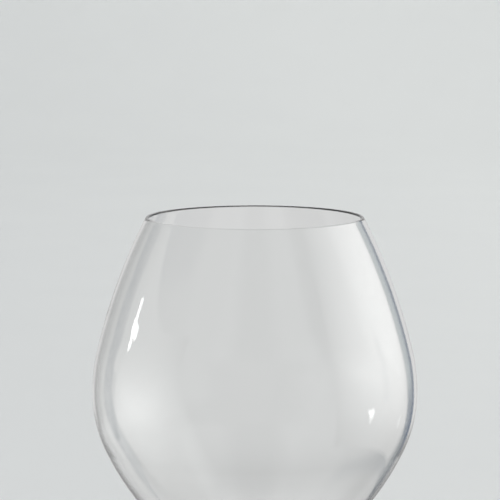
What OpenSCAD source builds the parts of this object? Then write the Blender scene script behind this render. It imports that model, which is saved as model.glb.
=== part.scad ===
// Stemmed wine glass with a wide, rounded bowl.
// It is three pieces of clear glass, fused end to end: a blown bowl, a drawn stem and a pressed foot.
// The foot stands on Z = 0, and the axis of the glass is the Z axis. All lengths are in millimetres.
//
// The outlines are chains of arcs. "Lean" is the angle between the outline and the vertical, in degrees:
// 0 where the wall is upright, as at the widest point of the bowl, and 90 where it lies level.

/* [Overall] */
// Height from the table to the top of the rim
glass_h = 212; // [196:1:235]
// Longest straight step along a curved outline
outline_step = 2.5; // [1.5:0.5:4]

/* [Bowl outline] */
// Widest outer diameter of the bowl
bowl_d = 106; // [98:1:114]
// Height of the wall above the widest point, before the rim is rounded over
rim_rise = 57; // [50:1:64]
// Radius of the curve above the widest point
upper_belly_r = 59.5; // [50:0.5:70]
// Lean at which that curve runs into the upper wall
upper_belly_lean = 13.4; // [10:0.1:16]
// Radius of the long curve of the upper wall
upper_wall_r = 193; // [160:1:230]
// Radius of the curve below the widest point
lower_belly_r = 44; // [38:0.5:48]
// Lean at which that curve runs into the lower wall
lower_belly_lean = 26; // [22:1:30]
// Radius of the long curve of the lower wall
lower_wall_r = 92; // [80:1:100]
// Lean at which the lower wall runs into the round bottom
bottom_lean = 54; // [48:1:56]
// Radius of the hollow curve from the round bottom down to the stem
neck_fillet_r = 8; // [6:0.5:11]

/* [Bowl thickness] */
// Wall thickness at the rim
rim_wall = 1; // [0.8:0.1:1.6]
// Wall thickness at the widest point
belly_wall = 1.1; // [0.9:0.1:2]
// Thickness of the bottom, measured on the axis
bottom_wall = 4.5; // [3:0.1:7]
// How late the wall thickens towards the bottom: a higher number is later
thickening = 2.5; // [1.5:0.5:4]

/* [Stem] */
// Diameter at the waist
stem_d = 7.6; // [6:0.2:9]
// Diameter of the joint with the bowl
neck_d = 10; // [9.4:0.2:12]
// Diameter of the joint with the foot
ankle_d = 11.2; // [9.4:0.2:13]
// Length over which the stem narrows from the bowl to the waist
neck_taper_h = 24; // [12:1:26]
// Length over which the stem widens from the waist to the foot
ankle_taper_h = 30; // [12:1:34]

/* [Foot] */
// Diameter of the foot
foot_d = 84; // [74:1:94]
// Thickness of the rounded edge
edge_t = 1.8; // [1.4:0.1:2.6]
// Slope of the upper face towards the stem, in degrees above level
foot_slope = 5; // [3:0.5:8]
// Radius of the hollow curve from the upper face up to the stem
ankle_fillet_r = 8; // [6:0.5:11]
// Width of the flat ring that the glass stands on
rest_w = 3; // [2:0.5:6]
// Height of the hollow under the foot, on the axis
hollow_h = 2; // [1:0.1:2.6]

/* [Hidden] */
$fn = 144;

bowl_r = bowl_d / 2;
stem_r = stem_d / 2;
neck_r = neck_d / 2;
ankle_r = ankle_d / 2;
foot_r = foot_d / 2;
edge_r = edge_t / 2;
glass_colour = [0.86, 0.88, 0.88, 0.5];

// Last item of a list
function last(list) = list[len(list) - 1];

// List in the opposite order
function reversed(list) = [for (i = [len(list) - 1:-1:0]) list[i]];

// Number of straight steps along an arc that turns by `turn` degrees
function arc_steps(radius, turn) = max(4, ceil(abs(radius * turn) * PI / 180 / outline_step));

// Points [r, z, lean] of an arc after `start`, while the lean goes from `from` to `to`.
// way is 1 going up and -1 going down, and a negative radius makes the arc hollow.
function leaning_arc(start, radius, from, to, way) =
    let (count = arc_steps(radius, to - from))
    [for (i = [1:count])
        let (lean = from + (to - from) * i / count)
        [
            start[0] - radius * (cos(from) - cos(lean)),
            start[1] + way * radius * (sin(lean) - sin(from)),
            lean
        ]];

// Chain of arcs from `start`, where each leg is [radius, the lean at its end]
function outline(start, lean, legs, way, leg = 0) =
    leg == len(legs) ? [] :
    let (arc = leaning_arc(start, legs[leg][0], lean, legs[leg][1], way))
    concat(arc, outline(last(arc), legs[leg][1], legs, way, leg + 1));

// Round arc of the wall's thickness or of an edge, without its two ends
function edge_arc(centre, radius, from, to, count) =
    [for (i = [1:count - 1])
        let (angle = from + (to - from) * i / count)
        centre + radius * [cos(angle), sin(angle)]];

// Point that lies `depth` inside the wall at an outline point
function inset(point, depth, way) =
    [point[0] - depth * cos(point[2]), point[1] - way * depth * sin(point[2])];

// Outline points without their lean, moved up by `rise`
function placed(points, rise) = [for (p = points) [p[0], p[1] + rise]];

// Radius of a hollow arc that is upright at the waist and reaches `spread` further out over `height`
function taper_radius(spread, height) = (pow(height, 2) + pow(spread, 2)) / (2 * spread);

// Stem tapers, and the lean that each of them reaches at its joint
neck_taper_r = taper_radius(neck_r - stem_r, neck_taper_h);
neck_lean = asin(neck_taper_h / neck_taper_r);
ankle_taper_r = taper_radius(ankle_r - stem_r, ankle_taper_h);
ankle_lean = asin(ankle_taper_h / ankle_taper_r);

// Bowl: heights in this group are measured from its widest point
belly = [bowl_r, 0, 0];
upper_belly_top = upper_belly_r * sin(upper_belly_lean);
rim_lean = asin((rim_rise - upper_belly_top) / upper_wall_r + sin(upper_belly_lean));
upper_legs = [[upper_belly_r, upper_belly_lean], [upper_wall_r, rim_lean]];
lower_legs = [[lower_belly_r, lower_belly_lean], [lower_wall_r, bottom_lean]];
lower_wall_end = last(outline(belly, 0, lower_legs, -1));
bottom_r = lower_wall_end[0] / cos(bottom_lean);
fillet_top_r = (neck_r + neck_fillet_r * cos(neck_lean)) / (1 + neck_fillet_r / bottom_r);
fillet_lean = acos(fillet_top_r / bottom_r);
upper_wall = concat([belly], outline(belly, 0, upper_legs, 1));
rim_end = last(upper_wall);
rim_centre = inset(rim_end, rim_wall / 2, 1);
rim_steps = 8;
belly_z = glass_h - rim_centre[1] - rim_wall / 2;

// Wall thickness at a height above the widest point, and at a lean below it
function upper_thickness(height) = belly_wall + (rim_wall - belly_wall) * height / rim_rise;
function lower_thickness(lean) = belly_wall + (bottom_wall - belly_wall) * pow(lean / 90, thickening);

// Foot: the sloping face leaves the rounded edge and runs into the hollow curve
slope_lean = 90 - foot_slope;
slope_start = [foot_r - edge_r, edge_r] + edge_r * [cos(slope_lean), sin(slope_lean)];
slope_end_r = ankle_r + ankle_fillet_r * (cos(ankle_lean) - cos(slope_lean));
slope_end = [slope_end_r, slope_start[1] + (slope_start[0] - slope_end_r) * tan(foot_slope)];
ankle_z = slope_end[1] + ankle_fillet_r * (sin(slope_lean) - sin(ankle_lean));
rest_inner_r = foot_r - edge_r - rest_w;
hollow_r = taper_radius(hollow_h, rest_inner_r);
hollow_steps = 14;
edge_steps = 8;

// Joint between the bowl and the stem
neck_z = belly_z + last(bowl_outside())[1];

// Outer face below the widest point, down to the joint with the stem
function bowl_outside() =
    outline(belly, 0, concat(lower_legs, [[bottom_r, fillet_lean], [-neck_fillet_r, neck_lean]]), -1);

// Inner face, from the rim down to the axis
function bowl_inside() = concat(
    [for (p = reversed(upper_wall)) inset(p, upper_thickness(p[1]), 1)],
    [for (p = outline(belly, 0, concat(lower_legs, [[bottom_r, 90]]), -1))
        inset(p, lower_thickness(p[2]), -1)]);

// Thin-walled bowl, with a solid neck under its round bottom and a rounded rim
module bowl() {
    rim = edge_arc(rim_centre, rim_wall / 2, rim_lean, rim_lean + 180, rim_steps);
    wall = concat(reversed(bowl_outside()), upper_wall, rim, bowl_inside());
    color(glass_colour)
        rotate_extrude()
            polygon(concat([[0, neck_z]], placed(wall, belly_z)));
}

// Solid stem, slender at the waist and wider at both joints
module stem() {
    neck = leaning_arc([neck_r, neck_z], -neck_taper_r, neck_lean, 0, -1);
    ankle = leaning_arc([ankle_r, ankle_z], -ankle_taper_r, ankle_lean, 0, 1);
    side = concat([[neck_r, neck_z]], placed(neck, 0), placed(reversed(ankle), 0), [[ankle_r, ankle_z]]);
    color(glass_colour)
        rotate_extrude()
            polygon(concat([[0, neck_z]], side, [[0, ankle_z]]));
}

// Round foot: a rounded edge, a sloping upper face and a shallow hollow underneath
module foot() {
    edge = edge_arc([foot_r - edge_r, edge_r], edge_r, -90, slope_lean, edge_steps);
    ankle = leaning_arc(slope_end, -ankle_fillet_r, slope_lean, ankle_lean, 1);
    hollow_turn = asin(rest_inner_r / hollow_r);
    hollow = [for (i = [0:hollow_steps - 1])
        let (angle = hollow_turn * i / hollow_steps)
        [hollow_r * sin(angle), hollow_h - hollow_r * (1 - cos(angle))]];
    under = concat(hollow, [[rest_inner_r, 0], [foot_r - edge_r, 0]]);
    top = concat([slope_start, slope_end], placed(ankle, 0), [[0, ankle_z]]);
    color(glass_colour)
        rotate_extrude()
            polygon(concat(under, edge, top));
}

bowl();
stem();
foot();
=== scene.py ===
"""Clear stemmed wine glass: bowl, stem and foot of blown glass in a pale, softly lit studio."""

import math

import bpy
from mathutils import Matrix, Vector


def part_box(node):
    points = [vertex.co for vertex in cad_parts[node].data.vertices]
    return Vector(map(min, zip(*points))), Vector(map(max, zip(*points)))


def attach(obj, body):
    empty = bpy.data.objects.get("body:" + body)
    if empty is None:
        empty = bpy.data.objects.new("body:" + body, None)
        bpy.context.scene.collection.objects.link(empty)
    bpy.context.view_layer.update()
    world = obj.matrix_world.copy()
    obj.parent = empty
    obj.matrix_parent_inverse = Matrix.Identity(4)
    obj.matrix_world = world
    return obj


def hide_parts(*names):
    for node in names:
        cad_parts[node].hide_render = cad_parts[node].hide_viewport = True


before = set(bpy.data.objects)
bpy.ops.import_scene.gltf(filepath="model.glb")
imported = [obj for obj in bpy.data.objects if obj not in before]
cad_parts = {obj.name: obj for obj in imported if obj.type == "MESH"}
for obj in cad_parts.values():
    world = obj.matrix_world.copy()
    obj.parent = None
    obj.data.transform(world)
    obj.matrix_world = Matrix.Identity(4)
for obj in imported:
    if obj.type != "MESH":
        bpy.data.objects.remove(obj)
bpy.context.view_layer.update()  # the bodies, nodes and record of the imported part

MM = 0.001  # metres in a millimetre

# Outline of the bowl, in millimetres and degrees. Lean is the outline's angle from the vertical.
BOWL_R = 53.0
UPPER_BELLY = (59.5, 13.4)  # radius of the arc, lean at its end
UPPER_WALL_R = 193.0
RIM_RISE = 57.0
LOWER_BELLY = (44.0, 26.0)
LOWER_WALL = (92.0, 54.0)
NECK_R = 5.0
NECK_FILLET_R = 8.0
RIM_WALL = 1.0
BELLY_WALL = 1.1
BOTTOM_WALL = 4.5
THICKENING = 2.5

# Stem and foot
STEM_R = 3.8
NECK_TAPER_H = 24.0
ANKLE_R = 5.6
ANKLE_TAPER_H = 30.0
FOOT_R = 42.0
EDGE_R = 0.9
FOOT_SLOPE = 5.0
ANKLE_FILLET_R = 8.0
REST_W = 3.0
HOLLOW_H = 2.0

OUTLINE_STEP = 0.8  # longest straight step along an outline, in millimetres
FEWEST_ARC_STEPS = 8
RIM_STEPS = 16
EDGE_STEPS = 14
REST_STEPS = 4
HOLLOW_STEPS = 40
SLOPE_STEPS = 40
JOINT_STEPS = 3
TURNS = 256  # steps round the axis
ON_AXIS = 1e-6  # a smaller radius is a single point
SHARP_CORNER = 40.0  # degrees; only the joints' edges turn more than this

NECK_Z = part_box("stem")[1].z / MM
ANKLE_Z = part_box("foot")[1].z / MM


def sin(degrees):
    return math.sin(math.radians(degrees))


def cos(degrees):
    return math.cos(math.radians(degrees))


def asin(value):
    return math.degrees(math.asin(value))


# ---------------------------------------------------------------- outlines


def leaning_arc(start, radius, lean_from, lean_to, way):
    """Points (r, z, lean) after start. way is 1 going up and -1 down; a negative radius is hollow."""
    length = abs(radius * math.radians(lean_to - lean_from))
    count = max(FEWEST_ARC_STEPS, math.ceil(length / OUTLINE_STEP))
    points = []
    for i in range(1, count + 1):
        lean = lean_from + (lean_to - lean_from) * i / count
        r = start[0] - radius * (cos(lean_from) - cos(lean))
        z = start[1] + way * radius * (sin(lean) - sin(lean_from))
        points.append((r, z, lean))
    return points


def chain(start, legs, way):
    """Arcs one after another, where each leg is (radius, lean at its end)."""
    points = [start]
    for radius, lean in legs:
        points += leaning_arc(points[-1], radius, points[-1][2], lean, way)
    return points


def inset(point, depth, way):
    """The point that lies depth inside the wall."""
    r, z, lean = point
    return (r - depth * cos(lean), z - way * depth * sin(lean))


def taper(spread, height):
    """Radius of a hollow arc that is upright at one end and spreads over height, and its lean there."""
    radius = (height**2 + spread**2) / (2 * spread)
    return radius, asin(height / radius)


def round_edge(centre, radius, angle_from, angle_to, count):
    """Points on a round edge, without its two ends."""
    points = []
    for i in range(1, count):
        angle = angle_from + (angle_to - angle_from) * i / count
        points.append((centre[0] + radius * cos(angle), centre[1] + radius * sin(angle)))
    return points


def bowl_outline():
    """Outline of the bowl from its joint, up the outside, over the rim and down to the axis."""
    belly = (BOWL_R, 0.0, 0.0)
    rise = UPPER_BELLY[0] * sin(UPPER_BELLY[1])
    rim_lean = asin((RIM_RISE - rise) / UPPER_WALL_R + sin(UPPER_BELLY[1]))
    upper = chain(belly, [UPPER_BELLY, (UPPER_WALL_R, rim_lean)], 1)
    lower = chain(belly, [LOWER_BELLY, LOWER_WALL], -1)
    bottom_r = lower[-1][0] / cos(LOWER_WALL[1])
    neck_lean = taper(NECK_R - STEM_R, NECK_TAPER_H)[1]
    fillet_top = (NECK_R + NECK_FILLET_R * cos(neck_lean)) / (1 + NECK_FILLET_R / bottom_r)
    fillet_lean = math.degrees(math.acos(fillet_top / bottom_r))
    outside = chain(lower[-1], [(bottom_r, fillet_lean), (-NECK_FILLET_R, neck_lean)], -1)
    cap = chain(lower[-1], [(bottom_r, 90.0)], -1)

    def upper_wall(z):
        return BELLY_WALL + (RIM_WALL - BELLY_WALL) * z / RIM_RISE

    def lower_wall(lean):
        return BELLY_WALL + (BOTTOM_WALL - BELLY_WALL) * (lean / 90) ** THICKENING

    rim_centre = inset(upper[-1], RIM_WALL / 2, 1)
    rim = round_edge(rim_centre, RIM_WALL / 2, rim_lean, rim_lean + 180, RIM_STEPS)
    inside = [inset(p, upper_wall(p[1]), 1) for p in reversed(upper)]
    inside += [inset(p, lower_wall(p[2]), -1) for p in (lower + cap[1:])[1:]]
    outline = [p[:2] for p in reversed(lower + outside[1:])]
    outline += [p[:2] for p in upper[1:]] + rim + inside
    outline[-1] = (0.0, outline[-1][1])
    lift = NECK_Z - outline[0][1]
    return [(r, z + lift) for r, z in outline]


def stem_outline():
    """Outline of the stem's side, from the foot up to the bowl."""
    neck_taper, neck_lean = taper(NECK_R - STEM_R, NECK_TAPER_H)
    ankle_taper, ankle_lean = taper(ANKLE_R - STEM_R, ANKLE_TAPER_H)
    ankle = chain((ANKLE_R, ANKLE_Z, ankle_lean), [(-ankle_taper, 0.0)], 1)
    neck = chain((NECK_R, NECK_Z, neck_lean), [(-neck_taper, 0.0)], -1)
    return [p[:2] for p in ankle] + [p[:2] for p in reversed(neck)]


def foot_outline():
    """Outline of the foot from the axis underneath, round the edge and up to its joint."""
    ankle_lean = taper(ANKLE_R - STEM_R, ANKLE_TAPER_H)[1]
    slope_lean = 90 - FOOT_SLOPE
    rest_inner = FOOT_R - EDGE_R - REST_W
    hollow_r, hollow_turn = taper(HOLLOW_H, rest_inner)
    under = []
    for i in range(HOLLOW_STEPS + 1):
        angle = hollow_turn * i / HOLLOW_STEPS
        under.append((hollow_r * sin(angle), HOLLOW_H - hollow_r * (1 - cos(angle))))
    rest = [(rest_inner + REST_W * i / REST_STEPS, 0.0) for i in range(1, REST_STEPS + 1)]
    edge = round_edge((FOOT_R - EDGE_R, EDGE_R), EDGE_R, -90, slope_lean, EDGE_STEPS)
    slope_start = (FOOT_R - EDGE_R + EDGE_R * cos(slope_lean), EDGE_R + EDGE_R * sin(slope_lean))
    slope_end_r = ANKLE_R + ANKLE_FILLET_R * (cos(ankle_lean) - cos(slope_lean))
    slope = []
    for i in range(SLOPE_STEPS + 1):
        r = slope_start[0] + (slope_end_r - slope_start[0]) * i / SLOPE_STEPS
        slope.append((r, slope_start[1] + (slope_start[0] - r) * math.tan(math.radians(FOOT_SLOPE))))
    ankle = chain((*slope[-1], slope_lean), [(-ANKLE_FILLET_R, ankle_lean)], 1)
    return under + rest + edge + slope + [p[:2] for p in ankle[1:]]


# ---------------------------------------------------------------- meshes


def joint_disc(radius, z, upward):
    """Points from the edge of a joint's face to the axis, or back again, for the end of a piece."""
    points = [(radius * (1 - i / JOINT_STEPS), z) for i in range(1, JOINT_STEPS)] + [(0.0, z)]
    return points if upward else list(reversed(points))


def lathe(name, outline, joint_rings):
    """A closed mesh turned about Z. joint_rings are the outline steps whose faces are fused joints."""
    verts = []
    rings = []
    for r, z in outline:
        if r < ON_AXIS:
            rings.append([len(verts)])
            verts.append((0.0, 0.0, z * MM))
            continue
        rings.append(list(range(len(verts), len(verts) + TURNS)))
        for i in range(TURNS):
            angle = 360.0 * i / TURNS
            verts.append((r * MM * cos(angle), r * MM * sin(angle), z * MM))
    faces = []
    joints = []
    for step, (low, high) in enumerate(zip(rings, rings[1:])):
        for i in range(TURNS):
            j = (i + 1) % TURNS
            if len(low) == 1:
                faces.append((low[0], high[j], high[i]))
            elif len(high) == 1:
                faces.append((low[i], low[j], high[0]))
            else:
                faces.append((low[i], low[j], high[j], high[i]))
            joints.append(1 if step in joint_rings else 0)
    mesh = bpy.data.meshes.new(name)
    mesh.from_pydata(verts, [], faces)
    mesh.polygons.foreach_set("material_index", joints)
    mesh.polygons.foreach_set("use_smooth", [True] * len(faces))
    mesh.update()
    mesh.set_sharp_from_angle(angle=math.radians(SHARP_CORNER))
    piece = bpy.data.objects.new(name, mesh)
    bpy.context.scene.collection.objects.link(piece)
    return piece


def make_bowl():
    outline = bowl_outline()
    disc = joint_disc(NECK_R, outline[0][1], False)
    return lathe("glass_bowl", disc + outline, range(len(disc)))


def make_stem():
    outline = stem_outline()
    low = joint_disc(ANKLE_R, ANKLE_Z, False)
    high = joint_disc(NECK_R, NECK_Z, True)
    last = len(low) + len(outline) - 1
    rings = list(range(len(low))) + list(range(last, last + len(high)))
    return lathe("glass_stem", low + outline + high, rings)


def make_foot():
    outline = foot_outline()
    high = joint_disc(ANKLE_R, ANKLE_Z, True)
    last = len(outline) - 1
    return lathe("glass_foot", outline + high, range(last, last + len(high)))


# ---------------------------------------------------------------- materials

GLASS_COLOUR = (0.984, 0.992, 0.989, 1.0)
GLASS_IOR = 1.52
WHITE = (1.0, 1.0, 1.0, 1.0)

# Scales are for coordinates in metres: 42 makes features about 24 mm long.
RIPPLE_SCALE = 42.0
RIPPLE_DEPTH = 0.00002
SMEAR_SCALE = 26.0
SMEAR_NOISE = (0.52, 0.75)  # the noise where a smear starts, and where it is full
SMEAR_ROUGHNESS = 0.05
WIPE_SCALE = 420.0
WIPE_NOISE = (0.62, 0.72)
WIPE_TURN = (0.2, -0.3, 0.0)
WIPE_SQUEEZE = (1.0, 1.0, 0.08)  # draws the noise out into long upright lines
WIPE_ROUGHNESS = 0.06
DUST_SCALE = 42.0
DUST_SIZE = (0.012, 0.022)  # where a speck starts to fade and where it ends, in cells of its pattern
DUST_ROUGHNESS = 0.25


def node(tree, kind, **values):
    """A shader node with its plain input values set."""
    made = tree.nodes.new(kind)
    for key, value in values.items():
        made.inputs[key.replace("_", " ")].default_value = value
    return made


def connect(tree, *steps):
    """Link output to input for each (node, output, node, input) given."""
    for source, output, target, socket in steps:
        tree.links.new(source.outputs[output], target.inputs[socket])


def ramp_between(tree, low, high, to_low, to_high):
    """A Map Range node that runs from to_low to to_high while its value runs from low to high."""
    made = tree.nodes.new("ShaderNodeMapRange")
    made.interpolation_type = "SMOOTHSTEP"
    for socket, value in zip(list(made.inputs)[1:5], (low, high, to_low, to_high)):
        socket.default_value = value
    return made


def math_node(tree, operation):
    made = tree.nodes.new("ShaderNodeMath")
    made.operation = operation
    return made


def glass_material():
    """Clear blown glass: slow ripples, faint smears, fine wipe lines and a few dust specks."""
    mat = bpy.data.materials.new("clear_glass")
    mat.use_nodes = True
    tree = mat.node_tree
    shader = tree.nodes["Principled BSDF"]
    shader.inputs["Base Color"].default_value = GLASS_COLOUR
    shader.inputs["Transmission Weight"].default_value = 1.0
    shader.inputs["IOR"].default_value = GLASS_IOR
    place = tree.nodes.new("ShaderNodeTexCoord")

    ripple = node(tree, "ShaderNodeTexNoise", Scale=RIPPLE_SCALE, Detail=1.0)
    bump = node(tree, "ShaderNodeBump", Strength=1.0, Distance=RIPPLE_DEPTH)
    connect(tree, (place, "Object", ripple, "Vector"), (ripple, 0, bump, "Height"))
    connect(tree, (bump, "Normal", shader, "Normal"))

    smear = node(tree, "ShaderNodeTexNoise", Scale=SMEAR_SCALE, Detail=5.0, Distortion=0.6)
    smear_range = ramp_between(tree, *SMEAR_NOISE, 0.0, SMEAR_ROUGHNESS)
    connect(tree, (place, "Object", smear, "Vector"), (smear, 0, smear_range, "Value"))

    stretch = tree.nodes.new("ShaderNodeMapping")
    stretch.inputs["Rotation"].default_value = WIPE_TURN
    stretch.inputs["Scale"].default_value = WIPE_SQUEEZE
    wipe = node(tree, "ShaderNodeTexNoise", Scale=WIPE_SCALE, Detail=2.0)
    wipe_range = ramp_between(tree, *WIPE_NOISE, 0.0, WIPE_ROUGHNESS)
    connect(tree, (place, "Object", stretch, "Vector"), (stretch, 0, wipe, "Vector"))
    connect(tree, (wipe, 0, wipe_range, "Value"))

    dust = node(tree, "ShaderNodeTexVoronoi", Scale=DUST_SCALE)
    dust_range = ramp_between(tree, *DUST_SIZE, DUST_ROUGHNESS, 0.0)
    connect(tree, (place, "Object", dust, "Vector"), (dust, "Distance", dust_range, "Value"))

    marks = math_node(tree, "MAXIMUM")
    rough = math_node(tree, "MAXIMUM")
    connect(tree, (wipe_range, 0, marks, 0), (dust_range, 0, marks, 1))
    connect(tree, (marks, 0, rough, 0), (smear_range, 0, rough, 1), (rough, 0, shader, "Roughness"))
    return mat


def joint_material():
    """The face where two pieces are one glass: light passes it as if it weren't there."""
    mat = bpy.data.materials.new("fused_joint")
    mat.use_nodes = True
    shader = mat.node_tree.nodes["Principled BSDF"]
    shader.inputs["Base Color"].default_value = WHITE
    shader.inputs["Transmission Weight"].default_value = 1.0
    shader.inputs["IOR"].default_value = 1.0
    shader.inputs["Alpha"].default_value = 0.0
    shader.inputs["Roughness"].default_value = 0.0
    return mat


# ---------------------------------------------------------------- studio

# Paper sweep, in metres
SWEEP_FLOOR_R = 2.6
SWEEP_BEND_R = 1.0
SWEEP_WALL_H = 2.6
SWEEP_STEPS = 12
SWEEP_DROP = 0.0004  # keeps the paper clear of the foot's resting ring, which would show as a dark line
# Paper colours for painted light and shade: the paper runs from the darker one near the glass and away
# from the window to the lighter one towards the window side and far off.
PAPER_PAINTED_SHADE = (0.758, 0.773, 0.775, 1.0)
PAPER_PAINTED_LIGHT = (0.845, 0.860, 0.855, 1.0)
PAPER_CLOUD = 0.04

# Camera, in metres and degrees
CAMERA_DISTANCE = 1.10
CAMERA_ABOVE_RIM = 0.1209
CAMERA_PITCH = 6.83
SENSOR_W = 36.0  # millimetres, as is the lens
LENS = 245.7
SHIFT_X = -0.0095

MOST_BOUNCES = 32  # clear glass needs more than the usual number
GLOSSY_BOUNCES = 16

# Cards: how far they are from the glass's axis, in metres. Nearer ones hide farther ones.
BOWL_Z = 0.17  # height of the middle of the bowl
FARTHEST_CARD = 1.3
WINDOW_CARD = 1.2
NEAR_CARD = 1.1
NEAREST_CARD = 1.09
FARTHEST_CARD_Z = 0.002  # height at which the farthest card lies on the floor
LYING_SPREAD = 0.02  # how much higher a nearer card lies, for each metre nearer

# Cards: light levels
BACKDROP = 0.68
BACK_LEFT_WALL = 0.36
BACK_LEFT_TINT = (1.0, 0.99, 0.98)
LEFT_WALL = 0.42
BRIGHT_PATCH = 0.54
BRIGHT_SPOT = 0.36
CAMERA_SIDE = 0.45
UPPER_ROOM = 0.40
SKYLIGHT = 1.6
FLOOR = 0.66
FLOOR_BEHIND = 0.58
FLOOR_BY_CAMERA = 0.35
FLOOR_LEFT = 0.30
FLOOR_RIGHT = 0.54
FLOOR_LINE = (0.26, 0.28, 0.31)
WINDOW = 2.3
WINDOW_TINT = (1.0, 0.995, 0.985)
STAND_FOOT = (0.16, 0.18, 0.20)
STAND_DARK = (0.015, 0.055, 0.12)
STAND_RIGHT = (0.27, 0.33, 0.37)
LEFT_STRIP = (0.13, 0.14, 0.16)
LAMP = 8.0

# Cards: stretches of azimuth or elevation in degrees, as (from, to, half the softness of the ends)
FLOOR_BEHIND_SIDES = (-70, 70, 10)
FLOOR_CAMERA_SIDES = (162, 198, 10)
FLOOR_LEFT_SIDES = (-128, -74, 6)
FLOOR_RIGHT_SIDES = (40, 112, 6)
LINE_SIDES = (36, 106, 6)
BACK_LEFT_SIDES = (-62, -25, 6)
LEFT_SIDES = (-145, -62, 5)
PATCH_SIDES = (-112, -70, 4)
PATCH_ELEVATIONS = (-21, 3, 7)
LIT_SIDES = (-125, 145, 12)
OPEN_ABOVE_SIDES = (-50, 110, 8)
LOW_WALL_SIDES = (-66, -15, 8)
LOWEST_WALL_SIDES = (-115, -66, 8)

# Cards: smooth steps in degrees, as (from, to)
UPPER_ROOM_STEP = (12, 24)
WINDOW_FOOT_STEP = (-2, 40)
WINDOW_TOP_STEP = (15, 40)
STAND_RIGHT_STEP = (33, 37)
STAND_RIGHT_RISE = (-12, -4)
STAND_FOOT_STEP = (-26, -18)

# Cards: other places, in degrees
LINE_START = 40  # azimuth where the dark line on the floor is LINE_ELEVATION high
LINE_ELEVATION = -28
LINE_FALL = 0.3  # for each degree to the right
LINE_HALF_H = 5
LINE_SOFTNESS = 2
SPOT = (-90, -10)  # azimuth and elevation
SPOT_SIZE = (15, 7)
WALL_DEPTH = 12  # how far the walls reach below the middle of the bowl
LOW_WALL_EXTRA = 2
LOWEST_WALL_EXTRA = 8
WALL_SOFTNESS = 7
SKYLIGHT_ELEVATION = 60
SKYLIGHT_EDGE = (0.60, 0.80)  # cosine of the angle from the skylight's middle
WINDOW_MIDDLE = 78
WINDOW_FADE = 44
WINDOW_FOOT = 8


def paper_material():
    """Pale paper with painted light: its colour is lighter towards the window side and farther from the
    glass, with a faint cloudiness.
    """
    mat = bpy.data.materials.new("studio_paper")
    mat.use_nodes = True
    tree = mat.node_tree
    shader = tree.nodes["Principled BSDF"]
    shader.inputs["Roughness"].default_value = 0.9
    shader.inputs["Specular IOR Level"].default_value = 0.0
    place = tree.nodes.new("ShaderNodeTexCoord")
    split = tree.nodes.new("ShaderNodeSeparateXYZ")
    # Painted light: the paper's colour grows lighter towards the window side (x) and with distance from
    # the glass, standing in for the window's light.
    across = ramp_between(tree, -0.3, 0.3, -0.5, 0.5)
    across.interpolation_type = "LINEAR"
    away = tree.nodes.new("ShaderNodeVectorMath")
    away.operation = "LENGTH"
    distance = ramp_between(tree, 0.4, 3.4, 0.0, 1.0)
    distance.interpolation_type = "LINEAR"
    cloud = node(tree, "ShaderNodeTexNoise", Scale=9.0, Detail=3.0)
    cloud_range = ramp_between(tree, 0.3, 0.7, -PAPER_CLOUD, PAPER_CLOUD)
    # Share of painted light, then the paper's own faint cloudiness added to it.
    painted_light_share = math_node(tree, "ADD")
    share = math_node(tree, "ADD")
    # Mix of the paper's painted shade colour and painted light colour.
    mix = tree.nodes.new("ShaderNodeMix")
    mix.data_type = "RGBA"
    dark, light = [socket for socket in mix.inputs if socket.type == "RGBA"]
    dark.default_value = PAPER_PAINTED_SHADE
    light.default_value = PAPER_PAINTED_LIGHT
    connect(tree, (place, "Object", split, 0), (split, "X", across, "Value"))
    connect(tree, (place, "Object", away, 0), (away, "Value", distance, "Value"))
    connect(tree, (place, "Object", cloud, "Vector"), (cloud, 0, cloud_range, "Value"))
    connect(tree, (across, 0, painted_light_share, 0), (distance, 0, painted_light_share, 1))
    connect(tree, (painted_light_share, 0, share, 0), (cloud_range, 0, share, 1))
    connect(tree, (share, 0, mix, 0), (mix, "Result", shader, "Base Color"))
    return mat


def make_sweep():
    """Round paper sweep: a flat floor that curves up into a wall all round."""
    outline = [(0.0, 0.0)]
    outline += [(SWEEP_FLOOR_R * i / SWEEP_STEPS, 0.0) for i in range(1, SWEEP_STEPS + 1)]
    for i in range(1, SWEEP_STEPS + 1):
        angle = 90.0 * i / SWEEP_STEPS
        outline.append((SWEEP_FLOOR_R + SWEEP_BEND_R * sin(angle), SWEEP_BEND_R * (1 - cos(angle))))
    outline.append((SWEEP_FLOOR_R + SWEEP_BEND_R, SWEEP_WALL_H))
    sweep = lathe("studio_sweep", [(r / MM, z / MM) for r, z in outline], [])
    sweep.data.materials.append(paper_material())
    sweep.location.z = -SWEEP_DROP
    return sweep


# ---------------------------------------------------------------- cards that only the glass sees


def blend_between(value, low, high):
    """0 below low, 1 above high, and a smooth step between them."""
    t = min(1.0, max(0.0, (value - low) / (high - low)))
    return t * t * (3 - 2 * t)


def bump_between(value, low, high, soft):
    """1 from low to high and 0 outside, where each end is a smooth step of twice soft."""
    rise = blend_between(value, low - soft, low + soft)
    fall = blend_between(value, high - soft, high + soft)
    return rise * (1 - fall)


def mixed(a, b, share):
    return tuple(p + (q - p) * share for p, q in zip(a, b))


def grey(level, tint=(1.0, 1.0, 1.0)):
    return tuple(level * t for t in tint)


def card_material(name):
    """Light as strong and as coloured as the card's own glow says at each point."""
    mat = bpy.data.materials.new(name)
    mat.use_nodes = True
    tree = mat.node_tree
    tree.nodes.clear()
    out = tree.nodes.new("ShaderNodeOutputMaterial")
    emit = tree.nodes.new("ShaderNodeEmission")
    glow = tree.nodes.new("ShaderNodeAttribute")
    glow.attribute_name = "glow"
    connect(tree, (glow, "Color", emit, "Color"), (emit, 0, out, "Surface"))
    return mat


def card_point(azimuth, elevation, radius):
    """Point of a card: upright at its radius, and lying on the floor where it would reach below it."""
    height = BOWL_Z + radius * sin(elevation) / cos(elevation)
    lying_z = FARTHEST_CARD_Z + (FARTHEST_CARD - radius) * LYING_SPREAD
    if height < lying_z:
        radius = (lying_z - BOWL_Z) * cos(elevation) / sin(elevation)
        height = lying_z
    return (radius * sin(azimuth), radius * cos(azimuth), height)


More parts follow.
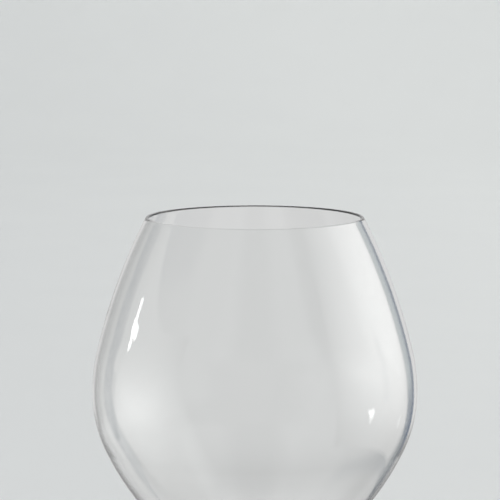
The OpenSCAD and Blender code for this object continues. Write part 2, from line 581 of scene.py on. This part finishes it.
def card(name, azimuths, elevations, radius, glow, columns=60, rows=30):
    """Card curved round the glass, seen only in the glass. It is radius metres away.

    Azimuth 0 is straight behind the glass and 90 at its right. Elevation is seen from the middle of
    the bowl. glow gives the card's light at an azimuth and an elevation.
    """
    verts = []
    light = []
    for j in range(rows + 1):
        elevation = elevations[0] + (elevations[1] - elevations[0]) * j / rows
        for i in range(columns + 1):
            azimuth = azimuths[0] + (azimuths[1] - azimuths[0]) * i / columns
            verts.append(card_point(azimuth, elevation, radius))
            light.extend((*glow(azimuth, elevation), 1.0))
    return card_object(name, verts, light, columns, rows)


def card_object(name, verts, light, columns, rows):
    """Object for a card's grid of points, hidden from the camera and the paper."""
    faces = []
    for j in range(rows):
        for i in range(columns):
            a = j * (columns + 1) + i
            faces.append((a, a + 1, a + columns + 2, a + columns + 1))
    mesh = bpy.data.meshes.new(name)
    mesh.from_pydata(verts, [], faces)
    layer = mesh.attributes.new("glow", "FLOAT_COLOR", "POINT")
    layer.data.foreach_set("color", light)
    made = bpy.data.objects.new(name, mesh)
    bpy.context.scene.collection.objects.link(made)
    mesh.materials.append(card_material(name))
    made.visible_camera = False
    made.visible_diffuse = False
    made.visible_shadow = False
    return made


def even_glow(light):
    """Glow that is the same all over a card."""
    return lambda azimuth, elevation: light


def floor_glow(side, elevation):
    """Pale paper, darker towards the camera and at both sides, with a dark line under the window."""
    light = mixed(grey(FLOOR), grey(FLOOR_BEHIND), bump_between(side, *FLOOR_BEHIND_SIDES))
    light = mixed(light, grey(FLOOR_BY_CAMERA), bump_between(side % 360, *FLOOR_CAMERA_SIDES))
    light = mixed(light, grey(FLOOR_LEFT), bump_between(side, *FLOOR_LEFT_SIDES))
    light = mixed(light, grey(FLOOR_RIGHT), bump_between(side, *FLOOR_RIGHT_SIDES))
    line = LINE_ELEVATION - LINE_FALL * (side - LINE_START)
    dark = bump_between(elevation, line - LINE_HALF_H, line + LINE_HALF_H, LINE_SOFTNESS)
    return mixed(light, FLOOR_LINE, dark * bump_between(side, *LINE_SIDES))


def left_wall_glow(side, elevation, light):
    """light, with a grey wall at the left that has a bright patch on it, brightest at one spot."""
    light = mixed(light, grey(BACK_LEFT_WALL, BACK_LEFT_TINT), bump_between(side, *BACK_LEFT_SIDES))
    light = mixed(light, grey(LEFT_WALL), bump_between(side, *LEFT_SIDES))
    patch = bump_between(side, *PATCH_SIDES) * bump_between(elevation, *PATCH_ELEVATIONS)
    across = (side - SPOT[0]) / SPOT_SIZE[0]
    up = (elevation - SPOT[1]) / SPOT_SIZE[1]
    spot = math.exp(-(across**2) - up**2)
    return mixed(light, grey(BRIGHT_PATCH + BRIGHT_SPOT * spot), patch)


def room_glow(azimuth, elevation):
    """The room: pale behind, a grey wall at the left, dim behind the camera, and a skylight."""
    side = (azimuth + 180) % 360 - 180
    light = left_wall_glow(side, elevation, grey(BACKDROP))
    light = mixed(light, grey(CAMERA_SIDE), 1 - bump_between(side, *LIT_SIDES))
    upper = blend_between(elevation, *UPPER_ROOM_STEP) * (1 - bump_between(side, *OPEN_ABOVE_SIDES))
    light = mixed(light, grey(UPPER_ROOM), upper)
    depth = WALL_DEPTH + LOW_WALL_EXTRA * bump_between(side, *LOW_WALL_SIDES)
    depth += LOWEST_WALL_EXTRA * bump_between(side, *LOWEST_WALL_SIDES)
    below = blend_between(-elevation, depth, depth + WALL_SOFTNESS)
    light = mixed(light, floor_glow(side, elevation), below)
    toward_sky = cos(side) * cos(elevation) * cos(SKYLIGHT_ELEVATION)
    toward_sky += sin(elevation) * sin(SKYLIGHT_ELEVATION)
    return mixed(light, grey(SKYLIGHT), blend_between(toward_sky, *SKYLIGHT_EDGE))


def window_glow(azimuth, elevation):
    """Tall window at the right, brightest at its middle, with a hard left edge."""
    across = 1 - 0.7 * ((azimuth - WINDOW_MIDDLE) / WINDOW_FADE) ** 2
    low = 1 - 0.6 * blend_between(WINDOW_FOOT - elevation, *WINDOW_FOOT_STEP)
    high = 1 - 0.3 * blend_between(elevation, *WINDOW_TOP_STEP)
    return grey(WINDOW * across * low * high, WINDOW_TINT)


def stand_glow(azimuth, elevation):
    """Dark stand at the window's left: nearly black on its left and grey blue on its right."""
    right = blend_between(azimuth, *STAND_RIGHT_STEP) * blend_between(elevation, *STAND_RIGHT_RISE)
    light = mixed(STAND_FOOT, STAND_DARK, blend_between(elevation, *STAND_FOOT_STEP))
    return mixed(light, STAND_RIGHT, right)


def make_cards():
    """The room, its window and stand, and a dark strip and a lamp at the left."""
    card("room", (-180, 180), (-68, 86), FARTHEST_CARD, room_glow, columns=360, rows=154)
    card("window", (46, 122), (-33, 60), WINDOW_CARD, window_glow)
    card("dark_stand", (28.5, 44.5), (-36, 15), NEAR_CARD, stand_glow)
    card("dark_left", (-66, -59), (-26, 1), NEAR_CARD, even_glow(LEFT_STRIP))
    lamp = even_glow(grey(LAMP))
    card("left_blob", (-78.8, -72.4), (10.8, 12.8), NEAREST_CARD, lamp, columns=2, rows=2)
    card("left_light", (-74.6, -73.2), (8.4, 16.2), NEAR_CARD, lamp)


# ---------------------------------------------------------------- world, camera and assembly


def make_world():
    """Even white light all round, which lights the paper."""
    world = bpy.data.worlds.new("studio")
    bpy.context.scene.world = world
    world.use_nodes = True
    back = world.node_tree.nodes["Background"]
    back.inputs["Color"].default_value = WHITE
    back.inputs["Strength"].default_value = 1.0


def make_camera():
    """Camera a little above the rim, looking slightly down at the bowl through a long lens."""
    data = bpy.data.cameras.new("camera")
    data.sensor_width = SENSOR_W
    data.lens = LENS
    data.shift_x = SHIFT_X
    camera = bpy.data.objects.new("camera", data)
    bpy.context.scene.collection.objects.link(camera)
    camera.location = (0.0, -CAMERA_DISTANCE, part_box("bowl")[1].z + CAMERA_ABOVE_RIM)
    camera.rotation_euler = (math.radians(90 - CAMERA_PITCH), 0.0, 0.0)
    bpy.context.scene.camera = camera


def set_light_paths():
    """Plain colours, and enough bounces for light to get through the bowl and the thick neck."""
    scene = bpy.context.scene
    scene.view_settings.view_transform = "Standard"
    scene.cycles.max_bounces = MOST_BOUNCES
    scene.cycles.transmission_bounces = MOST_BOUNCES
    scene.cycles.glossy_bounces = GLOSSY_BOUNCES


def dress(piece, cad_node, materials):
    for mat in materials:
        piece.data.materials.append(mat)
    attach(piece, "root")
    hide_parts(cad_node)


make_camera()
glass, joint = glass_material(), joint_material()
dress(make_bowl(), "bowl", [glass, joint])
dress(make_stem(), "stem", [glass, joint])
dress(make_foot(), "foot", [glass, joint])
make_sweep()
make_cards()
make_world()
set_light_paths()
